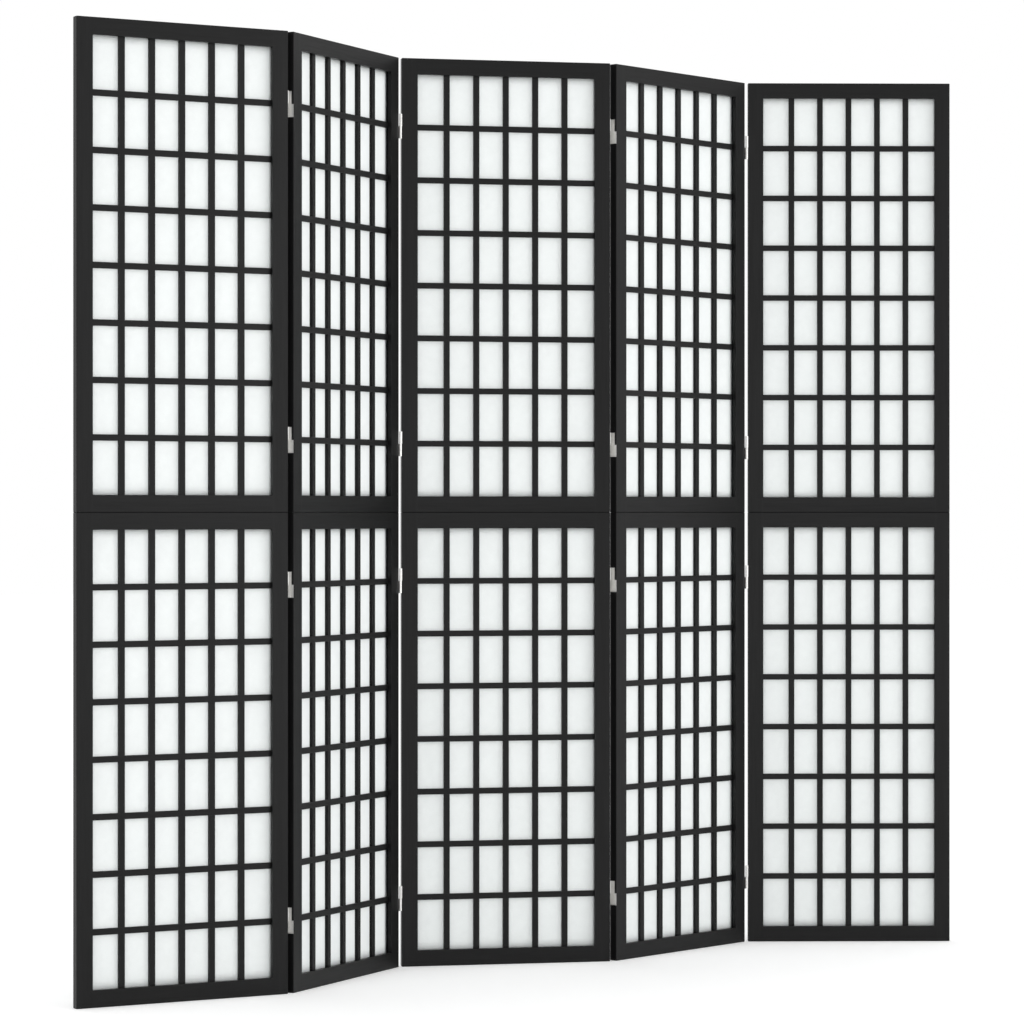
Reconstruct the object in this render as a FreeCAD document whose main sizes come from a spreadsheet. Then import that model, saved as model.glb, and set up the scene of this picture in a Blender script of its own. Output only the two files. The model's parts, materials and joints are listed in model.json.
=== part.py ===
import FreeCAD
import Part
import Sketcher
import os

# Five-panel folding screen: grooved frames in two halves, a lattice with a translucent sheet
# behind it, and loose-joint hinges that fold alternate ways. Millimetres and degrees, +Z up.
# The origin is on the floor under the middle of the third panel, whose front looks along -Y.

DOC = FreeCAD.newDocument("folding_screen")
SHEET = DOC.addObject("Spreadsheet::Sheet", "sizes")
Z_AXIS = FreeCAD.Vector(0, 0, 1)
Y_AXIS = FreeCAD.Vector(0, 1, 0)
HALF_TURN = 180.0

DRIVING_SIZES = {
    # Panel and its frame
    "panel_width": 400,
    "half_height": 850,
    "frame_thickness": 16,
    "stile_width": 30,
    "rail_width": 30,
    "edge_chamfer": 0.8,
    # Groove that holds the lattice and the sheet, measured back from the front face
    "groove_setback": 7,
    "groove_depth": 6,
    "groove_play": 0.2,
    "tenon_play": 0.1,
    "end_play": 0.5,
    # Lattice and sheet
    "upright_count": 5,
    "slat_count": 7,
    "bar_width": 11,
    "upright_depth": 6,
    "slat_depth": 4,
    "notch_play": 0.05,
    "sheet_thickness": 0.5,
    "sheet_edge_play": 1,
    # Tongues that join the upper half to the lower half
    "tongue_width": 60,
    "tongue_thickness": 6,
    "tongue_length": 36,
    "tongue_spacing": 200,
    # Hinges
    "hinge_height": 46,
    "hinge_from_end": 128,
    "knuckle_diameter": 5,
    "pin_diameter": 2.6,
    "pin_play": 0.05,
    "pin_end_play": 0.3,
    "knuckle_cap": 1.5,
    "knuckle_gap": 0.3,
    "knuckle_relief": 0.6,
    "leaf_thickness": 0.9,
    "leaf_end_inset": 0.4,
    "leaf_step": 3.6,
    "pin_stand_off": 2.1,
    # Panel edge to pin line: closed up at the back of a mountain fold, open in front of a valley fold
    "mountain_edge_gap": 1.2,
    "valley_edge_gap": 3,
    # How far each fold is closed as the screen stands, from flat
    "fold_1_2_turn": 35.1,
    "fold_2_3_turn": 52.4,
    "fold_3_4_turn": 37.1,
    "fold_4_5_turn": 47.8,
}

PANELS = range(1, 6)
ROOT_PANEL = 3
# A mountain fold points at the viewer and closes back to back; a valley fold closes front to front.
FOLDS = {(1, 2): "mountain", (2, 3): "valley", (3, 4): "mountain", (4, 5): "valley"}

# Expressions that several pieces share, in the panel's own frame: x across, y back, z up
FRONT = "-sizes.frame_thickness / 2"
BACK = "sizes.frame_thickness / 2"
OUTER_EDGE = "-sizes.panel_width / 2"
OPENING_WIDTH = "(sizes.panel_width - 2 * sizes.stile_width)"
OPENING_HEIGHT = "(sizes.half_height - 2 * sizes.rail_width)"
GROOVE_FRONT = f"({FRONT} + sizes.groove_setback)"
GROOVE_WIDTH = "(sizes.upright_depth + sizes.sheet_thickness + sizes.groove_play)"
GROOVE_BACK = f"({GROOVE_FRONT} + {GROOVE_WIDTH})"
BAR_INSERT = "(sizes.groove_depth - sizes.end_play)"
SHEET_INSERT = "(sizes.groove_depth - sizes.sheet_edge_play)"
SLAT_PITCH = f"({OPENING_HEIGHT} / (sizes.slat_count + 1))"
UPRIGHT_PITCH = f"({OPENING_WIDTH} / (sizes.upright_count + 1))"
KNUCKLE_RADIUS = "(sizes.knuckle_diameter / 2)"
BORE_RADIUS = "(sizes.pin_diameter / 2 + sizes.pin_play)"
HALF_HINGE = "(sizes.hinge_height / 2)"
BORE_END = f"({HALF_HINGE} - sizes.knuckle_cap)"
LEAF_REACH = "(sizes.frame_thickness + sizes.pin_stand_off - sizes.leaf_end_inset)"
PIN_BACK = "(sizes.frame_thickness / 2 + sizes.pin_stand_off)"
EDGE_GAP = {"mountain": "sizes.mountain_edge_gap", "valley": "sizes.valley_edge_gap"}
PIN_ACROSS = {kind: f"(sizes.panel_width / 2 + {gap})" for kind, gap in EDGE_GAP.items()}


def fill_sheet():
    for row, (alias, value) in enumerate(DRIVING_SIZES.items(), start=1):
        SHEET.set(f"A{row}", alias)
        SHEET.set(f"B{row}", str(value))
        SHEET.setAlias(f"B{row}", alias)
    DOC.recompute()


def size(expression):
    return float(SHEET.evalExpression(expression))


def bind(item, **expressions):
    for path, expression in expressions.items():
        item.setExpression(path.replace("__", "."), expression)
    return item


def at(item, x="0", y="0", z="0"):
    return bind(item, Placement__Base__x=x, Placement__Base__y=y, Placement__Base__z=z)


def box(name, across, back, up, corner):
    item = bind(DOC.addObject("Part::Box", name), Length=across, Width=back, Height=up)
    return at(item, *corner)


def cylinder(name, radius, up, base):
    item = bind(DOC.addObject("Part::Cylinder", name), Radius=radius, Height=up)
    return at(item, z=base)


def cut(name, base, tool):
    item = DOC.addObject("Part::Cut", name)
    item.Base = base
    item.Tool = tool
    return item


def fuse(name, pieces):
    item = DOC.addObject("Part::MultiFuse", name)
    item.Shapes = pieces
    item.Refine = True
    return item


def group(name, pieces):
    item = DOC.addObject("Part::Compound", name)
    item.Links = pieces
    return item


def turned_over(name, piece, height):
    """The piece turned half round about the front-to-back axis, so that its front stays in front."""
    item = group(name, [piece])
    item.Placement = FreeCAD.Placement(FreeCAD.Vector(), FreeCAD.Rotation(Y_AXIS, HALF_TURN))
    return bind(item, Placement__Base__z=height)


def new_body(name):
    return DOC.addObject("PartDesign::Body", name)


def profile(body, name, plane, corners):
    """A closed outline whose corners are pairs of expressions, on one of the body's own planes."""
    sketch = body.newObject("Sketcher::SketchObject", name)
    support = [item for item in body.Origin.OriginFeatures if item.Role == plane]
    sketch.AttachmentSupport = [(support[0], "")]
    sketch.MapMode = "FlatFace"
    points = [FreeCAD.Vector(size(first), size(second), 0) for first, second in corners]
    count = len(points)
    for i in range(count):
        sketch.addGeometry(Part.LineSegment(points[i], points[(i + 1) % count]))
    for i in range(count):
        sketch.addConstraint(Sketcher.Constraint("Coincident", i, 2, (i + 1) % count, 1))
    for i, (first, second) in enumerate(corners):
        for kind, expression in (("DistanceX", first), ("DistanceY", second)):
            index = sketch.addConstraint(Sketcher.Constraint(kind, -1, 1, i, 1, size(expression)))
            sketch.setExpression(f"Constraints[{index}]", expression)
    return sketch


def extrude(body, kind, name, sketch, length, symmetric=False):
    feature = body.newObject(f"PartDesign::{kind}", name)
    feature.Profile = sketch
    feature.SideType = "Symmetric" if symmetric else "One side"
    bind(feature, Length=length)
    DOC.recompute()
    return feature


def stile():
    """The left stile of the lower half: a grooved section with its outer and end arrises eased."""
    body = new_body("stile")
    inner_edge = f"{OUTER_EDGE} + sizes.stile_width"
    groove_floor = f"{inner_edge} - sizes.groove_depth"
    eased_edge = f"{OUTER_EDGE} + sizes.edge_chamfer"
    section = profile(body, "stile_section", "XY_Plane", [
        (eased_edge, FRONT),
        (inner_edge, FRONT),
        (inner_edge, GROOVE_FRONT),
        (groove_floor, GROOVE_FRONT),
        (groove_floor, GROOVE_BACK),
        (inner_edge, GROOVE_BACK),
        (inner_edge, BACK),
        (eased_edge, BACK),
        (OUTER_EDGE, f"{BACK} - sizes.edge_chamfer"),
        (OUTER_EDGE, f"{FRONT} + sizes.edge_chamfer"),
    ])
    length = extrude(body, "Pad", "stile_length", section, "sizes.half_height")
    ease_ends(body, length)
    return body


def ease_ends(body, pad):
    """Chamfers the end arrises on the front, the back and the outer edge, not those at the groove."""
    half_thickness = size(BACK)
    eased = size("sizes.edge_chamfer")
    outer = size(OUTER_EDGE)
    names = []
    for number, edge in enumerate(pad.Shape.Edges, start=1):
        middle = edge.CenterOfMass
        level = abs(edge.Vertexes[0].Z - edge.Vertexes[-1].Z) < eased / 2
        on_face = abs(middle.y) > half_thickness - eased
        on_outer_edge = middle.x < outer + eased
        if level and (on_face or on_outer_edge):
            names.append(f"Edge{number}")
    chamfer = body.newObject("PartDesign::Chamfer", "stile_ends")
    chamfer.Base = (pad, names)
    bind(chamfer, Size="sizes.edge_chamfer")


def rail(name, jointed):
    """A rail lying with its outer edge down: a grooved section with a stub tenon at each end."""
    body = new_body(name)
    section = profile(body, f"{name}_section", "YZ_Plane", [
        (f"{FRONT} + sizes.edge_chamfer", "0"),
        (f"{BACK} - sizes.edge_chamfer", "0"),
        (BACK, "sizes.edge_chamfer"),
        (BACK, "sizes.rail_width"),
        (GROOVE_BACK, "sizes.rail_width"),
        (GROOVE_BACK, "sizes.rail_width - sizes.groove_depth"),
        (GROOVE_FRONT, "sizes.rail_width - sizes.groove_depth"),
        (GROOVE_FRONT, "sizes.rail_width"),
        (FRONT, "sizes.rail_width"),
        (FRONT, "sizes.edge_chamfer"),
    ])
    extrude(body, "Pad", f"{name}_length", section, OPENING_WIDTH, symmetric=True)
    tenon_front = f"{GROOVE_FRONT} + sizes.tenon_play"
    tenon_back = f"{GROOVE_BACK} - sizes.tenon_play"
    tenon_top = "sizes.rail_width - sizes.groove_depth"
    tenons = profile(body, f"{name}_tenon_section", "YZ_Plane", [
        (tenon_front, "0"),
        (tenon_back, "0"),
        (tenon_back, tenon_top),
        (tenon_front, tenon_top),
    ])
    extrude(body, "Pad", f"{name}_tenons", tenons, f"{OPENING_WIDTH} + 2 * {BAR_INSERT}", symmetric=True)
    if jointed:
        mortise_both(body, name)
    return body


def mortise_both(body, name):
    """Two pockets in the rail's outer edge, where the tongues join the halves."""
    depth = "sizes.tongue_length / 2 + sizes.end_play"
    reach_back = "(sizes.tongue_thickness / 2 + sizes.tenon_play)"
    for side, sign in (("left", "-1"), ("right", "1")):
        middle = f"{sign} * sizes.tongue_spacing / 2"
        near = f"{middle} - sizes.tongue_width / 2 - sizes.tenon_play"
        far = f"{middle} + sizes.tongue_width / 2 + sizes.tenon_play"
        mouth = profile(body, f"{name}_{side}_mouth", "XY_Plane", [
            (near, f"-{reach_back}"),
            (far, f"-{reach_back}"),
            (far, reach_back),
            (near, reach_back),
        ])
        before = body.Shape.Volume
        pocket = extrude(body, "Pocket", f"{name}_{side}_mortise", mouth, depth)
        pocket.Reversed = True
        DOC.recompute()
        if body.Shape.Volume >= before:
            raise RuntimeError(f"{name}: the {side} mortise cuts nothing")


def upright():
    """A lattice upright, notched along its front where the slats cross it flush."""
    body = new_body("upright")
    front = GROOVE_FRONT
    back = f"{GROOVE_FRONT} + sizes.upright_depth"
    bottom = f"sizes.rail_width - {BAR_INSERT}"
    top = f"sizes.half_height - sizes.rail_width + {BAR_INSERT}"
    side = profile(body, "upright_side", "YZ_Plane", [
        (front, bottom),
        (back, bottom),
        (back, top),
        (front, top),
    ])
    extrude(body, "Pad", "upright_width", side, "sizes.bar_width", symmetric=True)
    floor = f"{GROOVE_FRONT} + sizes.slat_depth"
    low = f"sizes.rail_width + {SLAT_PITCH} - sizes.bar_width / 2 - sizes.notch_play"
    high = f"sizes.rail_width + {SLAT_PITCH} + sizes.bar_width / 2 + sizes.notch_play"
    notch_side = profile(body, "notch_side", "YZ_Plane", [
        (front, low),
        (floor, low),
        (floor, high),
        (front, high),
    ])
    notch = extrude(body, "Pocket", "notch", notch_side, "2 * sizes.bar_width", symmetric=True)
    notches = body.newObject("PartDesign::LinearPattern", "notches")
    notches.Originals = [notch]
    notches.Direction = (notch_side, ["V_Axis"])
    bind(notches, Length=f"{SLAT_PITCH} * (sizes.slat_count - 1)", Occurrences="sizes.slat_count")
    body.Tip = notches
    return body


def lattice():
    """Uprights and slats of the lower half, with their ends in the frame's groove."""
    master = upright()
    bars = []
    for i in range(1, int(size("sizes.upright_count")) + 1):
        bar = group(f"upright_{i}", [master])
        bars.append(at(bar, x=f"{i} * {UPRIGHT_PITCH} - {OPENING_WIDTH} / 2"))
    length = f"{OPENING_WIDTH} + 2 * {BAR_INSERT}"
    for i in range(1, int(size("sizes.slat_count")) + 1):
        low = f"sizes.rail_width + {i} * {SLAT_PITCH} - sizes.bar_width / 2"
        corner = (f"-({length}) / 2", GROOVE_FRONT, low)
        bars.append(box(f"slat_{i}", length, "sizes.slat_depth", "sizes.bar_width", corner))
    return group("lower_lattice", bars)


def sheet_panel():
    """The sheet of the lower half, behind the uprights, with its edges in the frame's groove."""
    width = f"({OPENING_WIDTH} + 2 * {SHEET_INSERT})"
    height = f"{OPENING_HEIGHT} + 2 * {SHEET_INSERT}"
    front = f"{GROOVE_FRONT} + sizes.upright_depth"
    corner = (f"-{width} / 2", front, f"sizes.rail_width - {SHEET_INSERT}")
    return group("lower_sheet", [box("sheet", width, "sizes.sheet_thickness", height, corner)])


def tongues():
    """Flat tongues across the seam, one towards each end of the middle rails."""
    pieces = []
    extents = ("sizes.tongue_width", "sizes.tongue_thickness", "sizes.tongue_length")
    for side, sign in (("left", "-1"), ("right", "1")):
        corner = (
            f"{sign} * sizes.tongue_spacing / 2 - sizes.tongue_width / 2",
            "-sizes.tongue_thickness / 2",
            "sizes.half_height - sizes.tongue_length / 2",
        )
        pieces.append(box(f"{side}_tongue", *extents, corner))
    return group("tongue_pair", pieces)


def panel_pieces():
    """Every piece of one panel in the panel's own frame, by the name of its node."""
    left = stile()
    stiles = group("lower_stiles", [left, turned_over("right_stile", left, "sizes.half_height")])
    bottom_rail = rail("bottom_rail", jointed=False)
    jointed_rail = rail("jointed_rail", jointed=True)
    middle_rail = turned_over("middle_rail", jointed_rail, "sizes.half_height")
    rails = group("lower_rails", [bottom_rail, middle_rail])
    lower = {"stiles": stiles, "rails": rails, "lattice": lattice(), "sheet": sheet_panel()}
    pieces = {}
    for name, piece in lower.items():
        pieces[f"lower_{name}"] = piece
        pieces[f"upper_{name}"] = turned_over(f"upper_{name}", piece, "2 * sizes.half_height")
    pieces["tongues"] = tongues()
    return pieces


def hinge_leaf(kind):
    """A leaf whose knuckle is in the upper half, with its pin line on the z axis and its plate at +x."""
    thickness = "sizes.leaf_thickness"
    inner_face = f"{EDGE_GAP[kind]} - {thickness}"
    foot = "sizes.knuckle_gap / 2"
    own_half = f"{HALF_HINGE} - {foot}"
    eye = cylinder(f"{kind}_knuckle", KNUCKLE_RADIUS, own_half, foot)
    wide = box(f"{kind}_wide_plate", thickness, LEAF_REACH, own_half, (inner_face, "0", foot))
    near = f"({KNUCKLE_RADIUS} + sizes.knuckle_relief)"
    reach = f"{LEAF_REACH} - sizes.leaf_step - {near}"
    up = f"{HALF_HINGE} + sizes.knuckle_gap"
    narrow = box(f"{kind}_narrow_plate", thickness, reach, up, (inner_face, near, f"-{HALF_HINGE}"))
    bore = cylinder(f"{kind}_bore", BORE_RADIUS, BORE_END, "0")
    return cut(f"{kind}_leaf", fuse(f"{kind}_leaf_blank", [eye, wide, narrow]), bore)


def hinge_pin():
    """A plain pin that stands in the lower knuckle's blind bore."""
    length = f"2 * {BORE_END} - sizes.pin_end_play"
    return cylinder("hinge_pin", "sizes.pin_diameter / 2", length, f"-{BORE_END}")


def hinge_heights():
    return (
        "sizes.hinge_from_end",
        "sizes.half_height - sizes.hinge_from_end",
        "sizes.half_height + sizes.hinge_from_end",
        "2 * sizes.half_height - sizes.hinge_from_end",
    )


def on_pin_line(name, master, side, kind, turn):
    """Copies of a hinge piece at every hinge height, on the pin line at one edge of a panel."""
    across = PIN_ACROSS[kind] if side == "right" else f"-{PIN_ACROSS[kind]}"
    back = PIN_BACK if kind == "mountain" else f"-{PIN_BACK}"
    copies = []
    for i, height in enumerate(hinge_heights(), start=1):
        copy = group(f"{name}_{i}", [master])
        copy.Placement = FreeCAD.Placement(FreeCAD.Vector(), turn)
        copies.append(at(copy, across, back, height))
    return group(name, copies)


def hinge_pieces():
    """Leaves and pins of each kind of fold, in the frame of the panel that carries them."""
    mountain_leaf = hinge_leaf("mountain")
    valley_leaf = hinge_leaf("valley")
    pin = hinge_pin()
    as_made = FreeCAD.Rotation()
    about = FreeCAD.Rotation(Z_AXIS, HALF_TURN)
    over = FreeCAD.Rotation(Y_AXIS, HALF_TURN)
    both = about * over
    return {
        ("mountain", "left_leaves"): on_pin_line("mountain_left", mountain_leaf, "right", "mountain", about),
        ("mountain", "right_leaves"): on_pin_line("mountain_right", mountain_leaf, "left", "mountain", both),
        ("mountain", "pins"): on_pin_line("mountain_pins", pin, "left", "mountain", as_made),
        ("valley", "left_leaves"): on_pin_line("valley_left", valley_leaf, "right", "valley", over),
        ("valley", "right_leaves"): on_pin_line("valley_right", valley_leaf, "left", "valley", as_made),
        ("valley", "pins"): on_pin_line("valley_pins", pin, "right", "valley", as_made),
    }


def fold_turn(fold):
    """The turn of the right panel against the left one about +Z as the screen stands."""
    turn = size(f"sizes.fold_{fold[0]}_{fold[1]}_turn")
    return turn if FOLDS[fold] == "mountain" else -turn


def pin_in_panel(side, kind):
    across = size(PIN_ACROSS[kind]) if side == "right" else -size(PIN_ACROSS[kind])
    back = size(PIN_BACK) if kind == "mountain" else -size(PIN_BACK)
    return FreeCAD.Vector(across, back, 0)


def panel_beside(placement, turn, pin_here, pin_there):
    """Placement of the next panel, turned about the pin line that both panels share."""
    rotation = placement.Rotation * FreeCAD.Rotation(Z_AXIS, turn)
    pin = placement.multVec(pin_here)
    return FreeCAD.Placement(pin - rotation.multVec(pin_there), rotation)


def panel_placements():
    """Where each panel stands, worked out from the root panel through the folds."""
    places = {ROOT_PANEL: FreeCAD.Placement()}
    for left in range(ROOT_PANEL, max(PANELS)):
        fold = (left, left + 1)
        right_edge = pin_in_panel("right", FOLDS[fold])
        left_edge = pin_in_panel("left", FOLDS[fold])
        places[left + 1] = panel_beside(places[left], fold_turn(fold), right_edge, left_edge)
    for right in range(ROOT_PANEL, min(PANELS), -1):
        fold = (right - 1, right)
        right_edge = pin_in_panel("right", FOLDS[fold])
        left_edge = pin_in_panel("left", FOLDS[fold])
        places[right - 1] = panel_beside(places[right], -fold_turn(fold), left_edge, right_edge)
    return places


def sub_part(label, piece, placement):
    item = group(label, [piece])
    item.Label = label
    item.Placement = placement
    return item


def carrier(fold, name):
    """The panel that carries a hinge piece: the pin stays in the lower knuckle."""
    left, right = fold
    if name == "left_leaves":
        return left
    if name == "right_leaves":
        return right
    return right if FOLDS[fold] == "mountain" else left


def sub_parts():
    places = panel_placements()
    pieces = panel_pieces()
    hinges = hinge_pieces()
    parts = []
    for number in PANELS:
        for name, piece in pieces.items():
            parts.append(sub_part(f"panel_{number}_{name}", piece, places[number]))
    for fold, kind in FOLDS.items():
        for name in ("left_leaves", "right_leaves", "pins"):
            label = f"fold_{fold[0]}_{fold[1]}_{name}"
            parts.append(sub_part(label, hinges[kind, name], places[carrier(fold, name)]))
    return parts


def check(parts):
    failed = [item.Name for item in DOC.Objects if {"Invalid", "Error"} & set(item.State)]
    failed += [part.Label for part in parts if part.Shape.isNull() or not part.Shape.isValid()]
    if failed:
        raise RuntimeError(f"failed: {failed}")


def write(parts):
    os.makedirs("parts", exist_ok=True)
    for part in parts:
        part.Shape.exportStep(os.path.join("parts", f"{part.Label}.step"))


fill_sheet()
PARTS = sub_parts()
DOC.recompute()
check(PARTS)
write(PARTS)
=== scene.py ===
import json
import math

import bmesh
import bpy
from mathutils import Matrix, Vector, noise


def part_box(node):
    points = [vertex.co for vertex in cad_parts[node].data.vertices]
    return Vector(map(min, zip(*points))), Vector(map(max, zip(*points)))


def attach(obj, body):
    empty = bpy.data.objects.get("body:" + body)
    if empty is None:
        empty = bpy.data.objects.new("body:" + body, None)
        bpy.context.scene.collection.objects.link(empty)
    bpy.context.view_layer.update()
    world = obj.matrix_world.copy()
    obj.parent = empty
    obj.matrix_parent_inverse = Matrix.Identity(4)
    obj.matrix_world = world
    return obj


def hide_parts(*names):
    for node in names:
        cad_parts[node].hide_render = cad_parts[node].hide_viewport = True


# Looks of the five-panel folding screen: black stained wood, white translucent sheets, satin steel
# hinges with their screws, a pale floor and soft studio light. Metres, in the frame of the solids.

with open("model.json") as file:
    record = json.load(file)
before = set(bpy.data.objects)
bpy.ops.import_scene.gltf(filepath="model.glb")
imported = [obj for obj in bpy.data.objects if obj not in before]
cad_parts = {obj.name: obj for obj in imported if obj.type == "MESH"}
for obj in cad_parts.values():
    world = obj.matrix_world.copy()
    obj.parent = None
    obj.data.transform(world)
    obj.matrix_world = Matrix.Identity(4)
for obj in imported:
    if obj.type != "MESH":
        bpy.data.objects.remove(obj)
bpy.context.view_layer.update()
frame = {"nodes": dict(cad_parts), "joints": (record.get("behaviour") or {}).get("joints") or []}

PANELS = range(1, 6)
FOLDS = ((1, 2), (2, 3), (3, 4), (4, 5))
HALVES = ("lower", "upper")
X, Y, Z = 0, 1, 2

# Sizes of the solids that the finishes, sheets and screws follow
PANEL_WIDTH = 0.400
HALF_HEIGHT = 0.850
RAIL_WIDTH = 0.030
BAR_WIDTH = 0.011
SLAT_COUNT = 7
UPRIGHT_COUNT = 5
HINGE_FROM_END = 0.128
LEAF_THICKNESS = 0.0009
OPENING_HEIGHT = HALF_HEIGHT - 2 * RAIL_WIDTH
SLAT_PITCH = OPENING_HEIGHT / (SLAT_COUNT + 1)

# The camera, level and at half the screen's height
CAMERA_AT = (-1.3502, -6.5624, 0.8506)
CAMERA_YAW = math.radians(11.7248)
LENS_MM = 125.03

# Lamps: place, power in watts and width
LAMPS = {
    "key": ((4.6, -2.8, 1.2), 98.0, 4.0),
    "fill": ((-0.8, -4.2, 0.3), 36.0, 3.0),
}


# Nodes that the materials share. A pattern is a noise with its stretch along one axis, its scale per metre
# and its detail, and levels are the noise values between which a colour or a roughness runs.

NOISE_ROUGHNESS = 0.62
NOISE_DISTORTION = 0.3
FULL_RANGE = (0.0, 1.0)
MAIN_SHARE = 0.6

# Sockets of a mix node that is set to colours
MIX_DARK, MIX_LIGHT, MIX_RESULT = 6, 7, 2


def add(tree, kind, inputs=None, **settings):
    """A shader node with its settings, and its inputs linked to sockets or set to values."""
    item = tree.nodes.new(kind)
    for key, value in settings.items():
        setattr(item, key, value)
    for key, value in (inputs or {}).items():
        if isinstance(value, bpy.types.NodeSocket):
            tree.links.new(value, item.inputs[key])
        else:
            item.inputs[key].default_value = value
    return item


def new_material(name):
    """A material with its node tree and its main shader."""
    material = bpy.data.materials.new(name)
    material.use_nodes = True
    return material, material.node_tree, material.node_tree.nodes["Principled BSDF"]


def link(tree, socket, shader, name):
    tree.links.new(socket, shader.inputs[name])


def to_surface(tree, shader):
    tree.links.new(shader.outputs[0], tree.nodes["Material Output"].inputs["Surface"])


def math_node(tree, operation, first, second=0.0):
    return add(tree, "ShaderNodeMath", {0: first, 1: second}, operation=operation).outputs[0]


def spread(tree, value, levels, to=FULL_RANGE):
    """Value remapped from between two levels to between two others, held at the ends."""
    inputs = {"Value": value, "From Min": levels[0], "From Max": levels[1], "To Min": to[0], "To Max": to[1]}
    return add(tree, "ShaderNodeMapRange", inputs).outputs["Result"]


def blend(tree, main, other):
    """Two patterns added, the main one with the larger share."""
    main_part = math_node(tree, "MULTIPLY", main, MAIN_SHARE)
    return math_node(tree, "ADD", main_part, math_node(tree, "MULTIPLY", other, 1 - MAIN_SHARE))


def two_colours(tree, factor, dark, light):
    """A colour between dark and light, by a factor of 0..1."""
    inputs = {"Factor": factor, MIX_DARK: (*dark, 1), MIX_LIGHT: (*light, 1)}
    return add(tree, "ShaderNodeMix", inputs, data_type="RGBA").outputs[MIX_RESULT]


def streaks(tree, point, along, stretch, scale, detail):
    """Noise drawn out along one axis."""
    shape = [1.0, 1.0, 1.0]
    shape[along] = stretch
    drawn_out = add(tree, "ShaderNodeMapping", {"Vector": point, "Scale": shape}).outputs["Vector"]
    inputs = {
        "Vector": drawn_out,
        "Scale": scale,
        "Detail": detail,
        "Roughness": NOISE_ROUGHNESS,
        "Distortion": NOISE_DISTORTION,
    }
    return add(tree, "ShaderNodeTexNoise", inputs).outputs[0]


def bumped(tree, shader, height, strength, distance):
    """Gives a shader a fine relief, and returns its normal."""
    inputs = {"Strength": strength, "Distance": distance, "Height": height}
    normal = add(tree, "ShaderNodeBump", inputs).outputs["Normal"]
    link(tree, normal, shader, "Normal")
    return normal


# The panels' own frames

def panel_place(number):
    """A panel's own frame: x across, y back and z up, from the floor under the panel's middle."""
    corners = [v.co for v in frame["nodes"][f"panel_{number}_lower_sheet"].data.vertices]
    centre = sum(corners, Vector()) / len(corners)
    far = max(corners, key=lambda c: (c - centre).xy.length) - centre
    right = [c - centre for c in corners if (c - centre).xy.dot(far.xy) * far.x > 0]
    across = sum(right, Vector()).xy.normalized()
    turn = Matrix.Rotation(math.atan2(across.y, across.x), 4, "Z")
    middle = sum((Vector(c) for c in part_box(f"panel_{number}_lower_stiles")), Vector()) / 2
    return Matrix.Translation((middle.x, middle.y, 0)) @ turn


PLACES = {number: panel_place(number) for number in PANELS}


def local_box(node, number):
    """Lowest and highest corner of a node in its panel's own frame."""
    inverse = PLACES[number].inverted()
    points = [inverse @ v.co for v in frame["nodes"][node].data.vertices]
    low = Vector(min(p[axis] for p in points) for axis in (X, Y, Z))
    high = Vector(max(p[axis] for p in points) for axis in (X, Y, Z))
    return low, high


def panel_point(tree, number):
    """The shaded point in its panel's own frame."""
    inverse = PLACES[number].inverted()
    seat = add(tree, "ShaderNodeTexCoord").outputs["Object"]
    inputs = {"Vector": seat, "Location": inverse.translation, "Rotation": inverse.to_euler()}
    return add(tree, "ShaderNodeMapping", inputs).outputs["Vector"]


# Black stained wood

BLACK_DEEP = (0.0019, 0.0019, 0.00195)
BLACK_WORN = (0.0053, 0.0053, 0.00545)
PORES = {"stretch": 0.035, "scale": 420.0, "detail": 5.0}
PORE_BUMP = {"strength": 0.25, "distance": 0.0003}
FIGURE = {"stretch": 0.035, "scale": 60.0, "detail": 3.0}
LATTICE_FIGURE = {"stretch": 1.0, "scale": 60.0, "detail": 5.0}
STAIN_LEVELS = (0.36, 0.64)
STAIN_GLOSS_LEVELS = (0.35, 0.65)
STAIN_ROUGHNESS = (0.46, 0.38)
STAIN_SPECULAR = 0.19


def on_slat(tree, point):
    """1 where the point lies in the height of a slat, 0 elsewhere."""
    height = add(tree, "ShaderNodeSeparateXYZ", {"Vector": point}).outputs["Z"]
    in_half = math_node(tree, "MODULO", height, HALF_HEIGHT)
    from_rail = math_node(tree, "SUBTRACT", in_half, RAIL_WIDTH)
    from_slat = math_node(tree, "PINGPONG", from_rail, SLAT_PITCH / 2)
    return math_node(tree, "LESS_THAN", from_slat, BAR_WIDTH / 2)


def lattice_pores(tree, point):
    """Pores that run up the uprights, and across at the heights of the slats."""
    upward = streaks(tree, point, Z, **PORES)
    across = streaks(tree, point, X, **PORES)
    inputs = {"Factor": on_slat(tree, point), "A": upward, "B": across}
    return add(tree, "ShaderNodeMix", inputs).outputs[0]


def black_stain(name, number, along):
    """Satin black stain over fine grain along an axis, or along each bar of the lattice with None."""
    material, tree, shader = new_material(name)
    point = panel_point(tree, number)
    if along is None:
        pores = lattice_pores(tree, point)
        figure = streaks(tree, point, Z, **LATTICE_FIGURE)
    else:
        pores = streaks(tree, point, along, **PORES)
        figure = streaks(tree, point, along, **FIGURE)
    tone = blend(tree, pores, figure)
    colour = two_colours(tree, spread(tree, tone, STAIN_LEVELS), BLACK_DEEP, BLACK_WORN)
    link(tree, colour, shader, "Base Color")
    link(tree, spread(tree, tone, STAIN_GLOSS_LEVELS, STAIN_ROUGHNESS), shader, "Roughness")
    bumped(tree, shader, pores, **PORE_BUMP)
    shader.inputs["Specular IOR Level"].default_value = STAIN_SPECULAR
    return material


# Plain wood of the tongues

SOFTWOOD_DARK = (0.42, 0.29, 0.17)
SOFTWOOD_LIGHT = (0.66, 0.5, 0.33)
SOFTWOOD_FIGURE = {"stretch": 0.05, "scale": 160.0, "detail": 5.0}
SOFTWOOD_LEVELS = (0.3, 0.7)
SOFTWOOD_ROUGHNESS = (0.75, 0.6)


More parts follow.
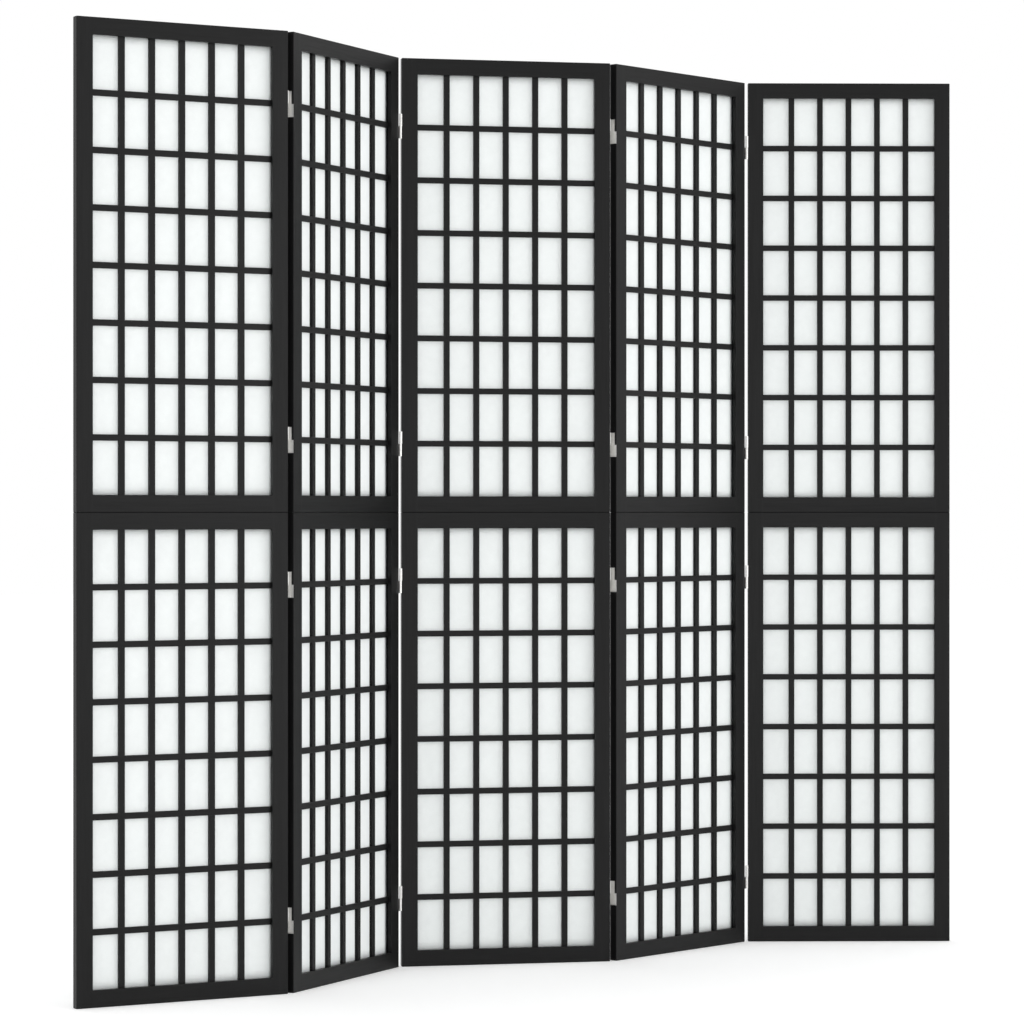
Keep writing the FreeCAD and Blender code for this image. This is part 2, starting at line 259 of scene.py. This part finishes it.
def bare_softwood(name, number):
    """The tongues' plain wood, which stays inside the rails."""
    material, tree, shader = new_material(name)
    figure = streaks(tree, panel_point(tree, number), X, **SOFTWOOD_FIGURE)
    colour = two_colours(tree, spread(tree, figure, SOFTWOOD_LEVELS), SOFTWOOD_DARK, SOFTWOOD_LIGHT)
    link(tree, colour, shader, "Base Color")
    link(tree, spread(tree, figure, SOFTWOOD_LEVELS, SOFTWOOD_ROUGHNESS), shader, "Roughness")
    return material


# Steel of the hinges and screws

STEEL_DARK = (0.66, 0.655, 0.64)
STEEL_LIGHT = (0.76, 0.755, 0.74)
BRUSHING = {"stretch": 0.03, "scale": 2600.0, "detail": 3.0}
BRUSHING_BUMP = {"strength": 0.1, "distance": 0.0001}
STEEL_CLOUDS = {"stretch": 0.6, "scale": 220.0, "detail": 3.0}
STEEL_LEVELS = (0.3, 0.7)
STEEL_ROUGHNESS = (0.3, 0.44)


def satin_steel(name):
    """Zinc-plated steel with fine upright brushing and faint cloudy patches."""
    material, tree, shader = new_material(name)
    seat = add(tree, "ShaderNodeTexCoord").outputs["Object"]
    brushing = streaks(tree, seat, Z, **BRUSHING)
    clouds = streaks(tree, seat, Z, **STEEL_CLOUDS)
    colour = two_colours(tree, spread(tree, clouds, STEEL_LEVELS), STEEL_DARK, STEEL_LIGHT)
    link(tree, colour, shader, "Base Color")
    link(tree, spread(tree, brushing, STEEL_LEVELS, STEEL_ROUGHNESS), shader, "Roughness")
    bumped(tree, shader, brushing, **BRUSHING_BUMP)
    shader.inputs["Metallic"].default_value = 1.0
    return material


# Cloth of the sheets

SHEET_DULL = (0.882, 0.9, 0.896)
SHEET_BRIGHT = (0.922, 0.941, 0.937)
SHEET_THROUGH = 0.45
SHEET_ROUGHNESS = 0.85
SHEET_SPECULAR = 0.2
SHEET_LEVELS = (0.42, 0.68)
SHEET_CLOUDS = {"stretch": 1.0, "scale": 70.0, "detail": 4.0}
FIBRES = {"stretch": 0.06, "scale": 900.0, "detail": 4.0}
FIBRE_BUMP = {"strength": 0.2, "distance": 0.0002}
FIBRE_DEGREES = (24, -38, 82)


def turned_fibres(tree, point, degrees):
    """Fine fibres lying at an angle in the plane of the sheet."""
    inputs = {"Vector": point, "Rotation": (0, math.radians(degrees), 0)}
    turned = add(tree, "ShaderNodeMapping", inputs).outputs["Vector"]
    return streaks(tree, turned, X, **FIBRES)


def crossing_fibres(tree, point):
    """Fibres in several directions, the highest one on top."""
    fibres = turned_fibres(tree, point, FIBRE_DEGREES[0])
    for degrees in FIBRE_DEGREES[1:]:
        fibres = math_node(tree, "MAXIMUM", fibres, turned_fibres(tree, point, degrees))
    return fibres


def white_sheet(name, number):
    """White non-woven cloth: crossing fibres, faint clouds, and light that comes through."""
    material, tree, shader = new_material(name)
    point = panel_point(tree, number)
    fibres = crossing_fibres(tree, point)
    tone = blend(tree, fibres, streaks(tree, point, X, **SHEET_CLOUDS))
    colour = two_colours(tree, spread(tree, tone, SHEET_LEVELS), SHEET_DULL, SHEET_BRIGHT)
    link(tree, colour, shader, "Base Color")
    normal = bumped(tree, shader, fibres, **FIBRE_BUMP)
    shader.inputs["Roughness"].default_value = SHEET_ROUGHNESS
    shader.inputs["Specular IOR Level"].default_value = SHEET_SPECULAR
    through = add(tree, "ShaderNodeBsdfTranslucent", {"Color": colour, "Normal": normal})
    inputs = {0: SHEET_THROUGH, 1: shader.outputs[0], 2: through.outputs[0]}
    to_surface(tree, add(tree, "ShaderNodeMixShader", inputs))
    return material


# Pieces

def dress(node, material):
    """Gives a CAD node its finish."""
    for slot in frame["nodes"][node].material_slots:
        slot.link = "OBJECT"
        slot.material = material


def mesh_data(mesh, name):
    """The data of a working mesh, which ends here."""
    data = bpy.data.meshes.new(name)
    mesh.to_mesh(data)
    mesh.free()
    return data


def finished(name, data, material, body):
    """A new piece that rides on a body and takes the finish it is given."""
    data.materials.append(material)
    piece = bpy.data.objects.new(name, data)
    bpy.context.scene.collection.objects.link(piece)
    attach(piece, body)
    return piece


# Sheets: the bow between two uprights, the waves on it, and how fast both set in from the held edges
SHEET_BOW = 0.0003
SHEET_WAVE = 0.00012
WAVES_ACROSS = 5.0
WAVES_UP = 9.0
FREE_RISE = 6.0
SHEET_CELLS = (48, 40)


def sheet_bow(across, up, seed):
    """How far the sheet stands behind the uprights, at 0..1 across and up: bays between the uprights."""
    bay = math.sin(math.pi * across * (UPRIGHT_COUNT + 1)) ** 2
    free = min(1.0, FREE_RISE * math.sin(math.pi * across) * math.sin(math.pi * up))
    wave = 0.5 + 0.5 * noise.noise(Vector((across * WAVES_ACROSS, up * WAVES_UP, seed)))
    return free * (SHEET_BOW * bay + SHEET_WAVE * wave)


def sheet_layer(mesh, number, low, high, depth, seed):
    """Rows of points over one side of a sheet, which lies between low and high in its panel's frame."""
    columns, rows = SHEET_CELLS
    layer = []
    for row in range(rows + 1):
        line = []
        for column in range(columns + 1):
            across, up = column / columns, row / rows
            x = low.x + across * (high.x - low.x)
            y = depth + sheet_bow(across, up, seed)
            z = low.z + up * (high.z - low.z)
            line.append(mesh.verts.new(PLACES[number] @ Vector((x, y, z))))
        layer.append(line)
    return layer


def join_layers(mesh, front, back):
    """The faces of both sides of a sheet, and of the rim between them."""
    columns, rows = SHEET_CELLS
    for row in range(rows):
        for column in range(columns):
            a, b, c, d = (row, column), (row, column + 1), (row + 1, column + 1), (row + 1, column)
            mesh.faces.new([front[i][j] for i, j in (a, b, c, d)])
            mesh.faces.new([back[i][j] for i, j in (a, d, c, b)])
    rim = [(0, column) for column in range(columns)]
    rim += [(row, columns) for row in range(rows)]
    rim += [(rows, column) for column in range(columns, 0, -1)]
    rim += [(row, 0) for row in range(rows, 0, -1)]
    for (i, j), (k, m) in zip(rim, rim[1:] + rim[:1]):
        mesh.faces.new([front[k][m], front[i][j], back[i][j], back[k][m]])


def stretched_sheet(number, half, material):
    """A thin closed sheet in its solid's place, touching the uprights and bowed a little between them."""
    node = f"panel_{number}_{half}_sheet"
    low, high = local_box(node, number)
    seed = len(HALVES) * number + HALVES.index(half) + 0.5  # each sheet's own slice of the noise
    mesh = bmesh.new()
    front, back = [sheet_layer(mesh, number, low, high, depth, seed) for depth in (low.y, high.y)]
    join_layers(mesh, front, back)
    mesh.normal_update()
    data = mesh_data(mesh, node)
    data.shade_smooth()
    piece = finished(f"{half}_cloth_{number}", data, material, f"panel_{number}")
    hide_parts(node)


# Screws: flat heads with a cross recess, two to a leaf, above and below its middle
SCREW_RADIUS = 0.0026
SCREW_RIM = 0.0002
SCREW_PROUD = 0.0002
SCREW_SIDES = 28
RECESS_ARM = 0.0016
RECESS_WIDTH = 0.0007
RECESS_DEPTH = 0.00015
SCREW_OFFSET = 0.0115
SCREW_FROM_PIN = 0.0088
LEAF_FACE = PANEL_WIDTH / 2 + LEAF_THICKNESS


def circle(radius):
    turns = [2 * math.pi * i / SCREW_SIDES for i in range(SCREW_SIDES)]
    return [(radius * math.cos(turn), radius * math.sin(turn)) for turn in turns]


def cross():
    """Outline of the recess, an arm and an inner corner to each quarter."""
    half = RECESS_WIDTH / 2
    arm = [(RECESS_ARM, -half), (RECESS_ARM, half), (half, half)]
    turns = [Matrix.Rotation(quarter * math.pi / 2, 2) for quarter in range(4)]
    return [tuple(turn @ Vector(point)) for turn in turns for point in arm]


def ring(mesh, seat, outline, height):
    """Points of an outline at a height over a seat."""
    return [mesh.verts.new(seat @ Vector((x, y, height))) for x, y in outline]


def sides(loop):
    """Each point of a closed loop with the next one."""
    return list(zip(loop, loop[1:] + loop[:1]))


def band(mesh, lower, upper):
    """Faces between two rings with as many points."""
    for (a, b), (c, d) in zip(sides(lower), sides(upper)):
        mesh.faces.new([a, b, d, c])


def screw_head(mesh, seat):
    """A flat head with an eased rim and a cross recess. Seat puts its base on a leaf, facing +Z."""
    foot = ring(mesh, seat, circle(SCREW_RADIUS), 0.0)
    shoulder = ring(mesh, seat, circle(SCREW_RADIUS), SCREW_PROUD - SCREW_RIM / 2)
    top = ring(mesh, seat, circle(SCREW_RADIUS - SCREW_RIM), SCREW_PROUD)
    mouth = ring(mesh, seat, cross(), SCREW_PROUD)
    floor = ring(mesh, seat, cross(), SCREW_PROUD - RECESS_DEPTH)
    band(mesh, foot, shoulder)
    band(mesh, shoulder, top)
    band(mesh, floor, mouth)
    mesh.faces.new(floor)
    mesh.faces.new(list(reversed(foot)))
    edges = [mesh.edges.get(pair) for loop in (top, mouth) for pair in sides(loop)]
    facing = seat.to_3x3() @ Vector((0, 0, 1))
    bmesh.ops.triangle_fill(mesh, edges=edges, use_beauty=True, normal=facing)


def hinge_heights():
    """Middles of a fold's hinges, two to a half, each as far from an end of the half."""
    in_half = (HINGE_FROM_END, HALF_HEIGHT - HINGE_FROM_END)
    return [foot + height for foot in (0.0, HALF_HEIGHT) for height in in_half]


def fold_name(fold):
    return f"fold_{fold[0]}_{fold[1]}"


def leaf_screws(fold, number, material):
    """The screws of one panel's leaves at a fold, on the face that looks into the gap."""
    joint = next(j for j in frame["joints"] if j["name"] == fold_name(fold))
    pin = PLACES[number].inverted() @ Vector(joint["pos_m"])
    outward = 1 if pin.x > 0 else -1
    inward = -1 if pin.y > 0 else 1
    facing = Matrix.Rotation(outward * math.pi / 2, 4, "Y")
    mesh = bmesh.new()
    for height in hinge_heights():
        for step in (-SCREW_OFFSET, SCREW_OFFSET):
            spot = Vector((outward * LEAF_FACE, pin.y + inward * SCREW_FROM_PIN, height + step))
            screw_head(mesh, PLACES[number] @ Matrix.Translation(spot) @ facing)
    bmesh.ops.recalc_face_normals(mesh, faces=mesh.faces)
    side = "left" if number == fold[0] else "right"
    name = f"{fold_name(fold)}_{side}_screws"
    finished(name, mesh_data(mesh, name), material, f"panel_{number}")


def dress_panels():
    for number in PANELS:
        upright_wood = black_stain(f"stile_wood_{number}", number, Z)
        level_wood = black_stain(f"rail_wood_{number}", number, X)
        lattice_wood = black_stain(f"lattice_wood_{number}", number, None)
        cloth = white_sheet(f"sheet_cloth_{number}", number)
        for half in HALVES:
            dress(f"panel_{number}_{half}_stiles", upright_wood)
            dress(f"panel_{number}_{half}_rails", level_wood)
            dress(f"panel_{number}_{half}_lattice", lattice_wood)
            stretched_sheet(number, half, cloth)
        dress(f"panel_{number}_tongues", bare_softwood(f"tongue_wood_{number}", number))


def dress_hinges():
    steel = satin_steel("hinge_steel")
    screw_steel = satin_steel("screw_steel")
    for fold in FOLDS:
        for piece in ("left_leaves", "right_leaves", "pins"):
            dress(f"{fold_name(fold)}_{piece}", steel)
        for number in fold:
            leaf_screws(fold, number, screw_steel)


# Floor, light and camera. The floor lies a little under the feet, and is lifted to white where it is seen.
FLOOR_HALF = 30.0
FLOOR_DROP = 0.0004
FLOOR_COLOUR = (0.92, 0.92, 0.92, 1)
FLOOR_LIFT = 0.18
WHITE = (1, 1, 1, 1)
AMBIENT = 1.0


def seen_directly(tree):
    """1 for rays from the camera, a mirror or a clear pane, 0 for the rest."""
    path = add(tree, "ShaderNodeLightPath").outputs
    seen = math_node(tree, "MAXIMUM", path["Is Camera Ray"], path["Is Glossy Ray"])
    return math_node(tree, "MAXIMUM", seen, path["Is Transmission Ray"])


def pale_floor(name):
    """Matt pale paint that shows the object's shadow."""
    material, tree, shader = new_material(name)
    tree.nodes.remove(shader)
    matt = add(tree, "ShaderNodeBsdfDiffuse", {"Color": FLOOR_COLOUR})
    lift = math_node(tree, "MULTIPLY", seen_directly(tree), FLOOR_LIFT)
    glow = add(tree, "ShaderNodeEmission", {"Color": WHITE, "Strength": lift})
    to_surface(tree, add(tree, "ShaderNodeAddShader", {0: matt.outputs[0], 1: glow.outputs[0]}))
    return material


def lay_floor():
    mesh = bmesh.new()
    bmesh.ops.create_grid(mesh, x_segments=1, y_segments=1, size=FLOOR_HALF)
    data = mesh_data(mesh, "floor")
    data.materials.append(pale_floor("pale_floor"))
    floor = bpy.data.objects.new("floor", data)
    floor.location.z = -FLOOR_DROP
    bpy.context.scene.collection.objects.link(floor)


def light_world():
    world = bpy.data.worlds.new("studio")
    world.use_nodes = True
    background = world.node_tree.nodes["Background"]
    background.inputs["Color"].default_value = WHITE
    background.inputs["Strength"].default_value = AMBIENT
    bpy.context.scene.world = world


def soft_lamp(name, at, power, width):
    """A square lamp that looks at the middle of the screen."""
    data = bpy.data.lights.new(name, "AREA")
    data.energy = power
    data.shape = "SQUARE"
    data.size = width
    lamp = bpy.data.objects.new(name, data)
    lamp.location = at
    aim = Vector((0, 0, HALF_HEIGHT)) - Vector(at)
    lamp.rotation_euler = aim.to_track_quat("-Z", "Y").to_euler()
    bpy.context.scene.collection.objects.link(lamp)


def place_camera():
    data = bpy.data.cameras.new("camera")
    data.lens = LENS_MM
    camera = bpy.data.objects.new("camera", data)
    camera.location = CAMERA_AT
    camera.rotation_euler = (math.pi / 2, 0, -CAMERA_YAW)
    bpy.context.scene.collection.objects.link(camera)
    bpy.context.scene.camera = camera


dress_panels()
dress_hinges()
lay_floor()
light_world()
for lamp_name, (lamp_at, lamp_power, lamp_width) in LAMPS.items():
    soft_lamp(lamp_name, lamp_at, lamp_power, lamp_width)
place_camera()
bpy.context.scene.view_settings.view_transform = "Standard"
